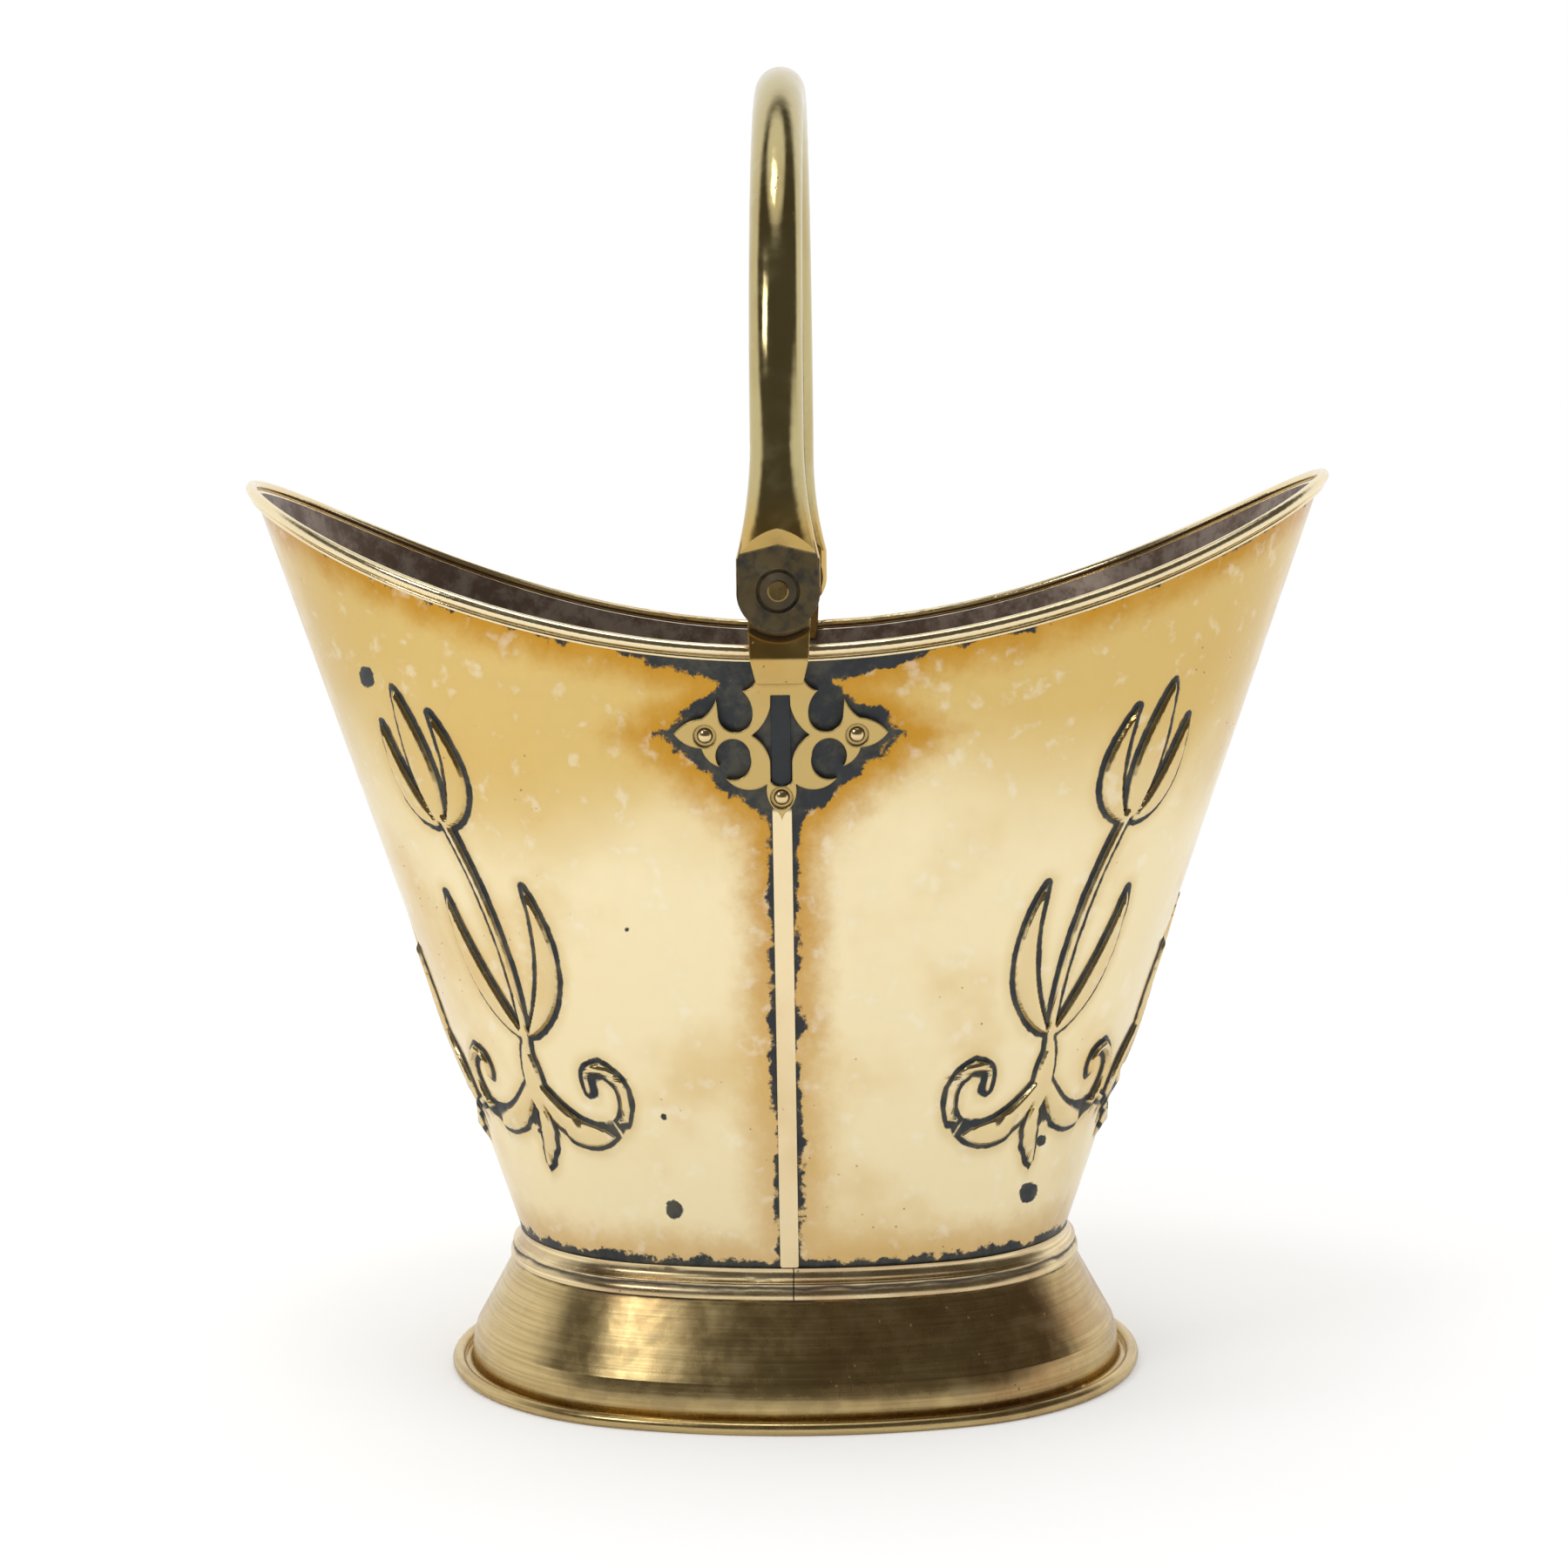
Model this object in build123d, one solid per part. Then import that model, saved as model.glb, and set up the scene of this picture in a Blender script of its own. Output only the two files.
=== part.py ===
"""Brass log bucket: an oval bucket with a saddle rim, a flared foot and a swing handle.

Origin on the floor under the middle of the bucket. X runs along the long side of the oval,
Y from the front to the back (it is also the direction of the handle's pivots), Z is up.
The front is the side of negative Y. Millimetres throughout.
"""

import os
from math import acos, atan2, cos, pi, sin, sqrt

from build123d import *

# Plan of the bucket: a four-centre oval, given at the waist and growing steadily upwards
waist_height = 42.0
waist_half_length = 93.2
waist_half_width = 64.7
end_lean = 0.334          # outward growth of the oval's half length for each mm of height
side_lean = 0.2025        # the same for its half width
oval_ratio = 0.15         # how much nearer the middle the end arcs' centres come across than along

# Body sheet and its wired rim
sheet = 0.9
rim_low = 251.8           # height of the rim roll's centre at the front and back
saddle_rise = 36.5        # how far the rim has risen at saddle_reach from the middle
saddle_reach = 150.0
rim_roll_radius = 1.8
rim_roll_outset = 0.6     # centre of the roll outside the face of the sheet
rim_bead_radius = 0.8
rim_bead_drop = 2.7       # centre of the small bead below that of the roll
rim_bead_outset = 1.05
sheet_drop = 1.87         # edge of the sheet below the roll's centre
wire_play = 0.01
body_bottom = 40.0

# Seam strips
strip_width = 6.0
strip_thick = 1.2
strip_bottom = 48.6
strip_top_gap = 0.4
strip_top = rim_low - rim_bead_drop - rim_bead_radius - strip_top_gap

# Bottom plate and foot
plate_thick = 1.2
foot_reach = 26.8         # how far the foot's edge stands outside the waist oval
foot_roll_radius = 2.3
foot_flat = 0.3           # how much the underside of the roll is worn flat
foot_wire_radius = foot_roll_radius - sheet
foot_flange = 7.0         # from the skirt's lowest part out to the foot's edge
collar_foot_height = 38.5
collar_top_height = 48.2
collar_reach = 5.9
skirt_reach_at_collar = 4.5
skirt_bend_height = 14.0  # below this the straight skirt curves down to its foot
skirt_bend_in = 1.68      # how far inside its foot the skirt is at that height
joint_gap = 0.4           # open butt joint of the collar
joint_offset = 1.3        # how far that joint sits beside the middle

# Handle and pivots
pivot_height = rim_low + 18.5
bar_radius = 8.1
leg_outset = 7.8155       # middle of each leg outside the wall, at the height of the rim
leg_y = waist_half_width + side_lean * (rim_low - waist_height) + leg_outset
ear_radius = 12.7
ear_half_depth = 6.9
ear_front_y = leg_y + 2.2
ear_thick = 6.0
ear_side_top = 9.8        # how far the ear's straight sides run above the pivot
ear_peak = 13.7           # middle of the gable-shaped shoulder above the pivot
paddle_top = 45.0         # where the leg's flare begins above the pivot
plain_leg = 4.0           # plain straight bar between the flare and the arch
pin_radius = 3.25
pin_play = 0.05
press_play = 0.01
washer_radius = 5.6
washer_thick = 1.5
washer_play = 0.35
counterbore_radius = 6.7
counterbore_depth = 2.2
side_play = 0.3           # between the ear and the lug behind it
pin_head_radius = 5.2
pin_head_thick = 1.8

# Brackets
bracket_thick = 2.6
lug_radius = 11.4
lug_thick = 7.3
lug_front_y = ear_front_y - ear_thick - side_play
lug_back_y = lug_front_y - lug_thick
bracket_height = rim_low - 25.7
neck_step = 4.4           # how far the neck stands out from the face of the bracket plate
neck_bottom = bracket_height + 15.8
neck_bend = rim_low - 2.2
neck_top = rim_low + 6.9
neck_half_bottom = 7.1
neck_half_bend = 9.0
neck_half_top = 9.5
neck_inner_bottom = rim_low - 5.2
groove_play = 0.25
seat_back_radius = 13.6   # hollow seat under the ear, round the pivot
seat_front_radius = 15.9

# Rivets
rivet_side_x = 23.3
rivet_side_height = bracket_height
rivet_low_height = bracket_height - 19.5
rivet_head_radius = 2.55
rivet_head_height = 1.9
rivet_shank_radius = 1.5
rivet_recess_radius = 3.6
rivet_recess_depth = 1.0
rivet_tail_radius = 2.4
rivet_tail_thick = 0.6
rivet_play = 0.02


# Four-centre oval
def oval_at(height, outward=0.0):
    """Numbers of the wall's outer oval at a height: p, q place the centres, r is the end radius."""
    half_length = waist_half_length + end_lean * (height - waist_height)
    half_width = waist_half_width + side_lean * (height - waist_height)
    p = (half_length - half_width) / (1 - oval_ratio)
    q = oval_ratio * p
    r = half_length - p + outward
    return p, q, r


def side_arc(oval):
    """Radius of the long arcs and how far beyond the middle their centres lie."""
    p, q, r = oval
    return r + (p * p + q * q) / (2 * q), (p * p - q * q) / (2 * q)


def oval_point(oval, angle, height):
    """Point of the oval where its outward normal points along the angle (radians from +X)."""
    p, q, r = oval
    radius, beyond = side_arc(oval)
    if abs(sin(angle)) <= beyond / sqrt(p * p + beyond * beyond):
        centre_x = p if cos(angle) > 0 else -p
        return Vector(centre_x + r * cos(angle), r * sin(angle), height)
    centre_y = -beyond if sin(angle) > 0 else beyond
    return Vector(radius * cos(angle), centre_y + radius * sin(angle), height)


def oval_wire(oval, height):
    """Closed outline of the oval, starting and ending in the middle of the front."""
    p, _, _ = oval
    _, beyond = side_arc(oval)
    turn = atan2(beyond, p)
    stops = [-pi / 2, -turn, turn, pi - turn, pi + turn, 3 * pi / 2]
    arcs = []
    for start, end in zip(stops, stops[1:]):
        middle = (start + end) / 2
        arcs.append(ThreePointArc(*[oval_point(oval, a, height) for a in (start, middle, end)]))
    return Wire(arcs)


def oval_block(outward, low, high):
    """Solid filling the wall's oval, moved outward, between two heights."""
    faces = [Face(oval_wire(oval_at(z, outward), z)) for z in (low, high)]
    return loft(faces, ruled=True)


def round_the_oval(section, oval):
    """Carry a section (x outward from the oval, y up) all the way round the oval."""
    start = oval_point(oval, -pi / 2, 0)
    plane = Plane(origin=start, x_dir=(0, -1, 0), z_dir=(-1, 0, 0))
    return sweep(plane * section, oval_wire(oval, 0))


def wall_frame(x, height):
    """Plane on the outer face of the front wall, its Z pointing straight out of the sheet."""
    oval = oval_at(height)
    radius, beyond = side_arc(oval)
    angle = -acos(x / radius)
    above = oval_at(height + 1)
    radius_above, beyond_above = side_arc(above)
    lean = (radius_above - radius) - abs(sin(angle)) * (beyond_above - beyond)
    out = Vector(cos(angle), sin(angle), -lean)
    along = Vector(-sin(angle), cos(angle), 0)
    return Plane(origin=oval_point(oval, angle, height), x_dir=along, z_dir=out)


def wall_y(height):
    """Distance of the wall's outer face from the middle, in the middle of the front."""
    return waist_half_width + side_lean * (height - waist_height)


# Saddle rim
def rim_height(x):
    return rim_low + saddle_rise * (x / saddle_reach) ** 2


def rim_path(outset, drop):
    """Right half of the rim line, a little outside the sheet and squarely below the roll's centre."""
    steps = 90
    points = []
    for i in range(steps + 1):
        angle = -pi / 2 + pi * i / steps
        height = rim_low
        for _ in range(15):
            point = oval_point(oval_at(height, outset), angle, height)
            climb = 2 * saddle_rise * point.X / saddle_reach ** 2 * sin(angle)
            height = rim_height(point.X) - drop * sqrt(1 + climb ** 2)
        points.append(Vector(point.X if 0 < i < steps else 0, point.Y, height))
    return Spline(*points, tangents=[(1, 0, 0), (-1, 0, 0)])


def along_rim(radius, outset, drop):
    """Round rod following the right half of the rim."""
    path = rim_path(outset, drop)
    return sweep(Plane(origin=path @ 0, z_dir=(1, 0, 0)) * Circle(radius), path)


def under_saddle():
    """Everything to the right of the middle and below the edge of the sheet."""
    reach = 2.4 * waist_half_length
    low = body_bottom
    top = rim_low - sheet_drop
    end_height = rim_height(reach) - sheet_drop
    edge = Bezier((0, top), (reach / 2, top), (reach, end_height))
    sides = Polyline((reach, end_height), (reach, low), (0, low), (0, top))
    return extrude(Plane.XZ * make_face([edge, sides]), 150, both=True)


# Small helpers
def front_and_back(solid):
    return solid, mirror(solid, Plane.XZ)


def round_post(radius, y_from, y_to, height=pivot_height, x=0.0):
    """Cylinder lying along Y between two distances in front of the middle."""
    start = Plane(origin=(x, -y_from, height), z_dir=(0, -1, 0))
    return extrude(start * Circle(radius), y_to - y_from)


# Rivets, each standing square on the front wall
def rivet(x, height):
    base = rivet_seat()
    head_sphere = (rivet_head_radius ** 2 + rivet_head_height ** 2) / (2 * rivet_head_height)
    head = Pos(0, 0, base + rivet_head_height - head_sphere) * Sphere(head_sphere)
    head &= Pos(0, 0, base + rivet_head_height) * Cylinder(rivet_head_radius + 1, 2 * rivet_head_height)
    shank = Pos(0, 0, base) * Cylinder(
        rivet_shank_radius, base + sheet + rivet_play, align=(Align.CENTER, Align.CENTER, Align.MAX))
    tail = Pos(0, 0, -sheet - rivet_play) * Cylinder(
        rivet_tail_radius, rivet_tail_thick, align=(Align.CENTER, Align.CENTER, Align.MAX))
    return wall_frame(x, height) * (head + shank + tail)


def rivet_seat():
    """Height of the recess floor above the wall's face."""
    return bracket_thick - rivet_recess_depth


def rivet_hole(x, height):
    shank = Pos(0, 0, -3) * Cylinder(
        rivet_shank_radius + press_play, 9, align=(Align.CENTER, Align.CENTER, Align.MIN))
    recess = Pos(0, 0, rivet_seat()) * Cylinder(
        rivet_recess_radius, 6, align=(Align.CENTER, Align.CENTER, Align.MIN))
    return wall_frame(x, height) * (shank + recess)


rivet_places = {
    "left": (-rivet_side_x, rivet_side_height),
    "right": (rivet_side_x, rivet_side_height),
    "lower": (0.0, rivet_low_height),
}


# Body halves and the two rods of the rim
def body_right():
    highest = rim_low + 2 * saddle_rise
    return body_shell(body_bottom - 1, highest) & under_saddle()


def body_shell(low, high):
    return oval_block(0, low, high) - oval_block(-sheet, low - 1, high + 1)


def rim_roll():
    return along_rim(rim_roll_radius, rim_roll_outset, 0)


def rim_bead():
    return along_rim(rim_bead_radius, rim_bead_outset, rim_bead_drop)


# Seam strip on the front wall
def seam_strip():
    outline = Pos(0, (strip_bottom + strip_top) / 2) * RectangleRounded(
        strip_width, strip_top - strip_bottom, 0.8)
    block = extrude(Plane.XZ * outline, 150)
    low = strip_bottom - 4
    high = rim_low + 8
    band = oval_block(strip_thick, low, high) - oval_block(0, low - 1, high + 1)
    return band & block


# Bottom plate
def base_plate():
    return oval_block(-sheet, body_bottom, body_bottom + plate_thick)


# Foot
def skirt_lean():
    """How far the skirt goes outwards for each mm that it comes down."""
    reach = foot_reach - foot_flange - skirt_bend_in
    return (reach - skirt_reach_at_collar) / (collar_foot_height - skirt_bend_height)


def skirt_reach(height):
    """How far the skirt's outer face stands outside the waist oval."""
    return skirt_reach_at_collar + skirt_lean() * (collar_foot_height - height)


def foot_skirt(wall):
    roll_x = foot_reach - foot_roll_radius
    roll_y = foot_roll_radius - foot_flat
    neck_top = 45.0
    neck_low = 43.6
    flange_low = 42.4
    bend_low = skirt_bend_height
    foot_x = foot_reach - foot_flange
    across = sheet * sqrt(1 + skirt_lean() ** 2)
    outer = [
        Line((-1.5, neck_top), (skirt_reach(neck_low), neck_top)),
        Line((skirt_reach(neck_low), neck_top), (skirt_reach(neck_low), neck_low)),
        Line((skirt_reach(neck_low), neck_low), (skirt_reach(bend_low), bend_low)),
        ThreePointArc((skirt_reach(bend_low), bend_low), (foot_x - 0.5, 9.6), (foot_x, 5.0)),
        Line((foot_x, 5.0), (foot_x, 2.9)),
        ThreePointArc((foot_x, 2.9), (foot_x + 0.45, 1.85), (foot_x + 1.5, 1.4)),
        Line((foot_x + 1.5, 1.4), (roll_x, 1.4)),
    ]
    inner = [
        Line((roll_x, 1.4), (roll_x, 0.5)),
        Line((roll_x, 0.5), (foot_x + 1.2, 0.5)),
        ThreePointArc((foot_x + 1.2, 0.5), (foot_x - 0.35, 1.15), (foot_x - sheet, 2.9)),
        Line((foot_x - sheet, 2.9), (foot_x - sheet, 5.0)),
        ThreePointArc((foot_x - sheet, 5.0), (foot_x - 1.4, 9.4), (skirt_reach(bend_low) - across, bend_low)),
        Line((skirt_reach(bend_low) - across, bend_low), (skirt_reach(flange_low) - across, flange_low)),
        Line((skirt_reach(flange_low) - across, flange_low), (-1.5, flange_low)),
        Line((-1.5, flange_low), (-1.5, neck_top)),
    ]
    section = make_face(outer + inner)
    section += Pos(roll_x, roll_y) * Circle(foot_roll_radius)
    section -= Pos(roll_x, roll_y) * Circle(foot_wire_radius + wire_play)
    section -= Pos(roll_x, -2) * Rectangle(20, 4)
    skirt = round_the_oval(section, oval_at(waist_height))
    return skirt - wall


def foot_wire():
    section = Pos(foot_reach - foot_roll_radius, foot_roll_radius - foot_flat) * Circle(foot_wire_radius)
    return round_the_oval(section, oval_at(waist_height))


def foot_collar(wall, skirt):
    groove = 42.2
    edge = 43.6
    low = collar_foot_height
    section = make_face([
        Line((-1.5, collar_top_height), (2.3, collar_top_height)),
        ThreePointArc((2.3, collar_top_height), (2.75, 45.6), (4.3, edge + 0.6)),
        ThreePointArc((4.3, edge + 0.6), (4.95, edge), (4.6, groove + 0.3)),
        Line((4.6, groove + 0.3), (4.6, groove)),
        ThreePointArc((4.6, groove), (5.65, 40.9), (collar_reach, low + 0.6)),
        ThreePointArc((collar_reach, low + 0.6), (collar_reach - 0.15, low + 0.15), (5.3, low)),
        Line((5.3, low), (-1.5, low)),
        Line((-1.5, low), (-1.5, collar_top_height)),
    ])
    ring = round_the_oval(section, oval_at(waist_height))
    joint = Pos(joint_offset, -wall_y(waist_height), waist_height) * Box(joint_gap, 40, 40)
    inside = oval_block(0, 20, 60)
    return ring - inside - skirt - skirt_fill() - joint


def skirt_fill():
    """Space inside the skirt just under the collar."""
    neck = 45.0
    section = make_face(Polyline(
        (-3, neck), (skirt_reach(43.6), neck), (skirt_reach(43.6), 43.6),
        (skirt_reach(30), 30), (-3, 30), (-3, neck)))
    return round_the_oval(section, oval_at(waist_height))


# Bracket
def bracket_outline():
    """Right half of the strapwork plate seen from the front, drawn about the side rivets' height."""
    upper_x, upper_z = 13.9, 6.1
    lower_x, lower_z = 14.8, -6.7
    hole = 5.35
    edges = [
        Line((0, 17.9), (7.0, 17.9)),
        ThreePointArc((7.0, 17.9), (8.6, 15.1), (11.6, 13.6)),
        ThreePointArc((11.6, 13.6), (9.25, 10.3), (upper_x - hole, upper_z)),
        ThreePointArc((upper_x - hole, upper_z), (upper_x, upper_z - hole), (upper_x + hole, upper_z)),
        Line((upper_x + hole, upper_z), (19.7, 11.0)),
        ThreePointArc((19.7, 11.0), (21.6, 7.5), (24.4, 5.0)),
        ThreePointArc((24.4, 5.0), (28.9, 3.8), (33.0, 0.3)),
        ThreePointArc((33.0, 0.3), (29.5, -2.9), (24.5, -4.3)),
        ThreePointArc((24.5, -4.3), (22.4, -8.1), (19.1, -10.1)),
        ThreePointArc((19.1, -10.1), (lower_x + 2.8, lower_z + 4.6), (lower_x - hole, lower_z)),
        ThreePointArc((lower_x - hole, lower_z), (11.7, -13.2), (17.1, -13.8)),
        ThreePointArc((17.1, -13.8), (10.6, -17.4), (4.4, -15.6)),
        ThreePointArc((4.4, -15.6), (4.1, -20.5), (2.2, -23.7)),
        ThreePointArc((2.2, -23.7), (0.7, -25.3), (0, -27.2)),
        Line((0, -27.2), (0, 17.9)),
    ]
    return Pos(0, bracket_height) * make_face(edges)


def bracket_opening():
    """Cross-shaped opening in the middle of the plate."""
    right = make_face([
        Line((0, 12.2), (3.0, 12.2)),
        Line((3.0, 12.2), (3.1, 8.8)),
        ThreePointArc((3.1, 8.8), (4.9, 4.2), (8.9, -0.2)),
        ThreePointArc((8.9, -0.2), (5.0, -4.1), (3.4, -8.6)),
        Line((3.4, -8.6), (3.4, -14.6)),
        ThreePointArc((3.4, -14.6), (1.9, -16.0), (0, -16.4)),
        Line((0, -16.4), (0, 12.2)),
    ])
    return Pos(0, bracket_height) * (right + mirror(right, Plane.YZ))


def rim_groove():
    """Straight channels that clear the rim's roll and bead where the neck bridges them."""
    long_way = Plane(origin=(-20, -wall_y(rim_low) - rim_roll_outset, rim_low), z_dir=(1, 0, 0))
    bead_height = rim_low - rim_bead_drop
    under = Plane(origin=(-20, -wall_y(bead_height) - rim_bead_outset, bead_height), z_dir=(1, 0, 0))
    groove = extrude(long_way * Circle(rim_roll_radius + groove_play), 40)
    groove += extrude(under * Circle(rim_bead_radius + groove_play), 40)
    between = Pos(0, -wall_y(rim_low), (rim_low + bead_height) / 2) * Box(
        40, 2 * rim_bead_outset, rim_low - bead_height)
    return groove + between


def bracket(strip):
    half = bracket_outline()
    outline = half + mirror(half, Plane.YZ) - bracket_opening()
    low = bracket_height - 36
    high = bracket_height + 24
    plate = extrude(Plane.XZ * outline, 150) & oval_block(bracket_thick, low, high)
    plate -= oval_block(0, low - 1, high + 1)

    front = make_face(Polyline(
        (neck_half_bottom, neck_bottom), (neck_half_bend, neck_bend), (neck_half_top, neck_top),
        (-neck_half_top, neck_top), (-neck_half_bend, neck_bend), (-neck_half_bottom, neck_bottom),
        (neck_half_bottom, neck_bottom)))
    stand = bracket_thick + neck_step
    mid_sheet = sheet / 2
    side = make_face(Polyline(
        (-wall_y(neck_bottom) - stand, neck_bottom),
        (-wall_y(neck_bend) - stand, neck_bend),
        (-wall_y(neck_bend) - stand + 0.3, neck_top),
        (-lug_back_y, neck_top),
        (-lug_back_y, neck_inner_bottom),
        (-wall_y(neck_inner_bottom) + mid_sheet, neck_inner_bottom),
        (-wall_y(neck_bottom) + mid_sheet, neck_bottom),
        (-wall_y(neck_bottom) - stand, neck_bottom)))
    neck = extrude(Plane.XZ * front, 150) & extrude(Plane.YZ * side, 20, both=True)
    seat = Plane(origin=(0, -lug_front_y, pivot_height), z_dir=(0, -1, 0)) * Cone(
        seat_back_radius, seat_front_radius, wall_y(neck_bend) + stand - lug_front_y,
        align=(Align.CENTER, Align.CENTER, Align.MIN))
    neck -= seat

    lug = round_post(lug_radius, lug_back_y, lug_front_y)
    shoulder = Pos(0, (pivot_height + neck_top) / 2) * Rectangle(
        2 * neck_half_top, pivot_height - neck_top + 1)
    lug += Pos(0, -lug_back_y, 0) * extrude(Plane.XZ * shoulder, lug_thick)
    whole = plate + neck + lug
    whole -= body_shell(low, rim_low)
    whole -= rim_groove()
    whole -= strip
    whole -= round_post(pin_radius + press_play, lug_back_y - 1, lug_front_y + 1)
    for x, height in rivet_places.values():
        whole -= rivet_hole(x, height)
    return whole


# Pivot pin and washer
def pivot_pin():
    end_y = ear_front_y + 0.3
    shaft = round_post(pin_radius, lug_back_y, end_y)
    shaft = chamfer(shaft.edges().filter_by(GeomType.CIRCLE).sort_by(Axis.Y)[0], 0.4)
    head = round_post(pin_head_radius, lug_back_y - pin_head_thick, lug_back_y)
    head = fillet(head.edges().filter_by(GeomType.CIRCLE).sort_by(Axis.Y)[-1], 1.2)
    return shaft + head


def pivot_washer():
    floor_y = ear_front_y - counterbore_depth
    back = floor_y + washer_play
    ring = round_post(washer_radius, back, back + washer_thick)
    return ring - round_post(pin_radius + press_play, back - 1, back + washer_thick + 1)


# Handle
def shoulder_cut(face_y, way):
    """Wedge that leaves the ear's flat face and the sloping gable shoulder above it."""
    depth = 9.0
    side = 16.0
    below = -20.0
    wires = []
    for grow in (0.0, depth):
        corners = [
            (-side - grow, below), (side + grow, below), (side + grow, ear_side_top + grow),
            (0, ear_peak + grow), (-side - grow, ear_side_top + grow), (-side - grow, below)]
        plane = Plane(origin=(0, -face_y - way * grow, pivot_height), x_dir=(1, 0, 0), z_dir=(0, -1, 0))
        wires.append(plane * make_face(Polyline(*corners)))
    return loft(wires, ruled=True)


def paddle():
    """Lower end of one leg: the bar flares and flattens into the ear."""
    flare = paddle_top - ear_side_top
    widen = ear_radius - bar_radius
    flare_radius = (flare ** 2 + widen ** 2) / (2 * widen)
    sections = []
    for i in range(6):
        above = ear_side_top + flare * i / 5
        half = bar_radius + flare_radius - sqrt(flare_radius ** 2 - (paddle_top - above) ** 2)
        depth = ear_half_depth + (bar_radius - ear_half_depth) * i / 5
        plane = Plane(origin=(0, -leg_y, pivot_height + above))
        sections.append(plane * (Ellipse(half, depth) if i < 5 else Circle(bar_radius)))
    neck = loft(sections)
    ear = extrude(sections[0], -(ear_side_top + ear_radius))
    outline = Circle(ear_radius) + Pos(0, 15) * Rectangle(2 * ear_radius, 30)
    ear &= Pos(0, -leg_y + 10, pivot_height) * extrude(Plane.XZ * outline, 20)
    end = neck + ear
    end -= shoulder_cut(ear_front_y, 1)
    end -= shoulder_cut(ear_front_y - ear_thick, -1)
    floor_y = ear_front_y - counterbore_depth
    end -= round_post(counterbore_radius, floor_y, ear_front_y + 10)
    end -= round_post(pin_radius + pin_play, ear_front_y - 20, ear_front_y + 10)
    return end


def handle():
    low = pivot_height + paddle_top
    arch_height = low + plain_leg
    path = Wire([
        Line((0, -leg_y, low), (0, -leg_y, arch_height)),
        ThreePointArc((0, -leg_y, arch_height), (0, 0, arch_height + leg_y), (0, leg_y, arch_height)),
        Line((0, leg_y, arch_height), (0, leg_y, low)),
    ])
    bar = sweep(Plane(origin=(0, -leg_y, low)) * Circle(bar_radius), path)
    front = paddle()
    return bar + front + mirror(front, Plane.XZ)


# Whole bucket
def build():
    right = body_right()
    left = mirror(right, Plane.YZ)
    front_strip = seam_strip()
    holes = [rivet_hole(x, height) for x, height in rivet_places.values()]
    for hole in holes:
        front_strip -= hole
        for cutter in front_and_back(hole):
            left -= cutter
            right -= cutter
    wall = oval_block(0, body_bottom - 10, body_bottom + 20)
    skirt = foot_skirt(wall)
    front_bracket = bracket(front_strip)

    parts = {
        "body_left": left,
        "body_right": right,
        "base_plate": base_plate(),
        "foot_skirt": skirt,
        "foot_collar": foot_collar(wall, skirt),
        "foot_wire": foot_wire(),
        "handle": handle(),
    }
    pairs = {
        "seam_strip": front_strip,
        "bracket": front_bracket,
        "pivot_pin": pivot_pin(),
        "pivot_washer": pivot_washer(),
    }
    for name, solid in pairs.items():
        parts[name + "_front"], parts[name + "_back"] = front_and_back(solid)
    for name, solid in {"rim_roll": rim_roll(), "rim_bead": rim_bead()}.items():
        parts[name + "_right"] = solid
        parts[name + "_left"] = mirror(solid, Plane.YZ)
    for place, (x, height) in rivet_places.items():
        front, back = front_and_back(rivet(x, height))
        parts["rivet_front_" + place] = front
        parts["rivet_back_" + place] = back
    return parts


if __name__ == "__main__":
    os.makedirs("parts", exist_ok=True)
    for name, solid in build().items():
        export_step(solid, f"parts/{name}.step")
        box = solid.bounding_box()
        print(name, len(solid.solids()), round(solid.volume, 1), box.min, box.max)
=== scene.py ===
import math

import bmesh
import bpy
import numpy as np
from mathutils import Matrix, Vector


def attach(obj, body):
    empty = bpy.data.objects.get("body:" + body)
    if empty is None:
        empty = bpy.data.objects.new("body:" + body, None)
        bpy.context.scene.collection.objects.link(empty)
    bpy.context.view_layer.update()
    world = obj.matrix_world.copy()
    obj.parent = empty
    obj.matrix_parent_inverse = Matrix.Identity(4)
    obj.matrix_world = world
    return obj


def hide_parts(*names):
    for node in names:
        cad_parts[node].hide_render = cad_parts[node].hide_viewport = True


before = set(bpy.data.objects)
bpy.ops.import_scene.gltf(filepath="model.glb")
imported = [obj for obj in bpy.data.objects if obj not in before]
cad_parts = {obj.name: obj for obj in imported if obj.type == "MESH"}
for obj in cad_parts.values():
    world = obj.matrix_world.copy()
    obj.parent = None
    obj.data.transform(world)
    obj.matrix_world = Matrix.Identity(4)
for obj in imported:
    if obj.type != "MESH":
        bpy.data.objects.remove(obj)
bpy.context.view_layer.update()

bl_info = {
    "name": "Brass log bucket",
    "version": (1, 0, 0),
    "blender": (4, 5, 0),
    "location": "View3D > Sidebar > Log bucket",
    "description": "Builds the visible pieces of an oval brass log bucket over its CAD frame",
    "category": "Add Mesh",
}

mm = 0.001

# Shape of the bucket in millimetres, as in the CAD frame
waist_height = 42.0
waist_half_length = 93.2
waist_half_width = 64.7
end_lean = 0.334
side_lean = 0.2025
oval_ratio = 0.15
sheet = 0.9
rim_low = 251.8
saddle_rise = 36.5
saddle_reach = 150.0
sheet_drop = 1.87
body_bottom = 40.0
collar_top = 48.2
strip_half_width = 3.0
pivot_height = rim_low + 18.5
bracket_height = rim_low - 25.7
ear_front_y = 117.2
ear_top = 16.0             # above the pivot
bore_floor_y = 114.0
bore_radius = 7.0

# Where tarnish keeps to the sheet, in millimetres
film_half_width = 39.0     # diamond round the bracket
film_above = 28.0
film_below = 31.5
film_slope = 22.0
rim_film = 1.6
neck_film = 11.0           # how much further the film comes down beside the neck
neck_film_reach = 62.0
strip_film = 1.6
strip_dark_above = 201.0   # where the strip runs under the bracket
collar_film = 3.2
no_film = 20.0
no_relief = 9.0

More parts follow.
